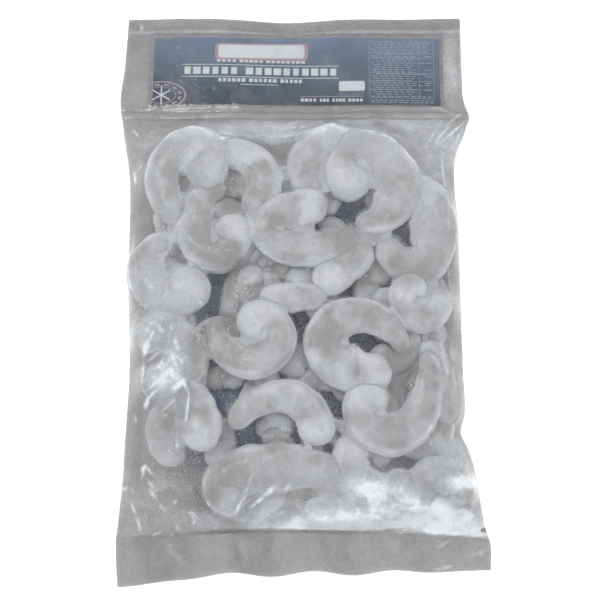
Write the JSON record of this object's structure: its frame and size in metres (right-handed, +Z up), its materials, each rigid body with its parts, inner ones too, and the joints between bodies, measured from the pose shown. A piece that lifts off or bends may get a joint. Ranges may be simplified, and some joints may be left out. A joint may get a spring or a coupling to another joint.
{
  "type": "bag of frozen raw prawns",
  "caption": "Flat clear film bag of frozen, glazed, peeled and curled prawns, with a card in its header pocket and a sealed flange at the foot, lying on its back.",
  "frame": {"origin": "middle of the bag's footprint, on the surface that it lies on", "axes": "+Y along the bag's length towards the header card, +X across it, +Z up out of the shown side"},
  "size_m": [0.2317, 0.3696, 0.0384],
  "materials": {
    "film_and_prawns": "clear film with a grey haze, over pale prawns in ice glaze",
    "printed_card": "dark navy printed card with a soft sheen"
  },
  "bodies": {
    "root": {"prawn_bag": "film_and_prawns", "label_card": "printed_card"}
  },
  "joints": []
}
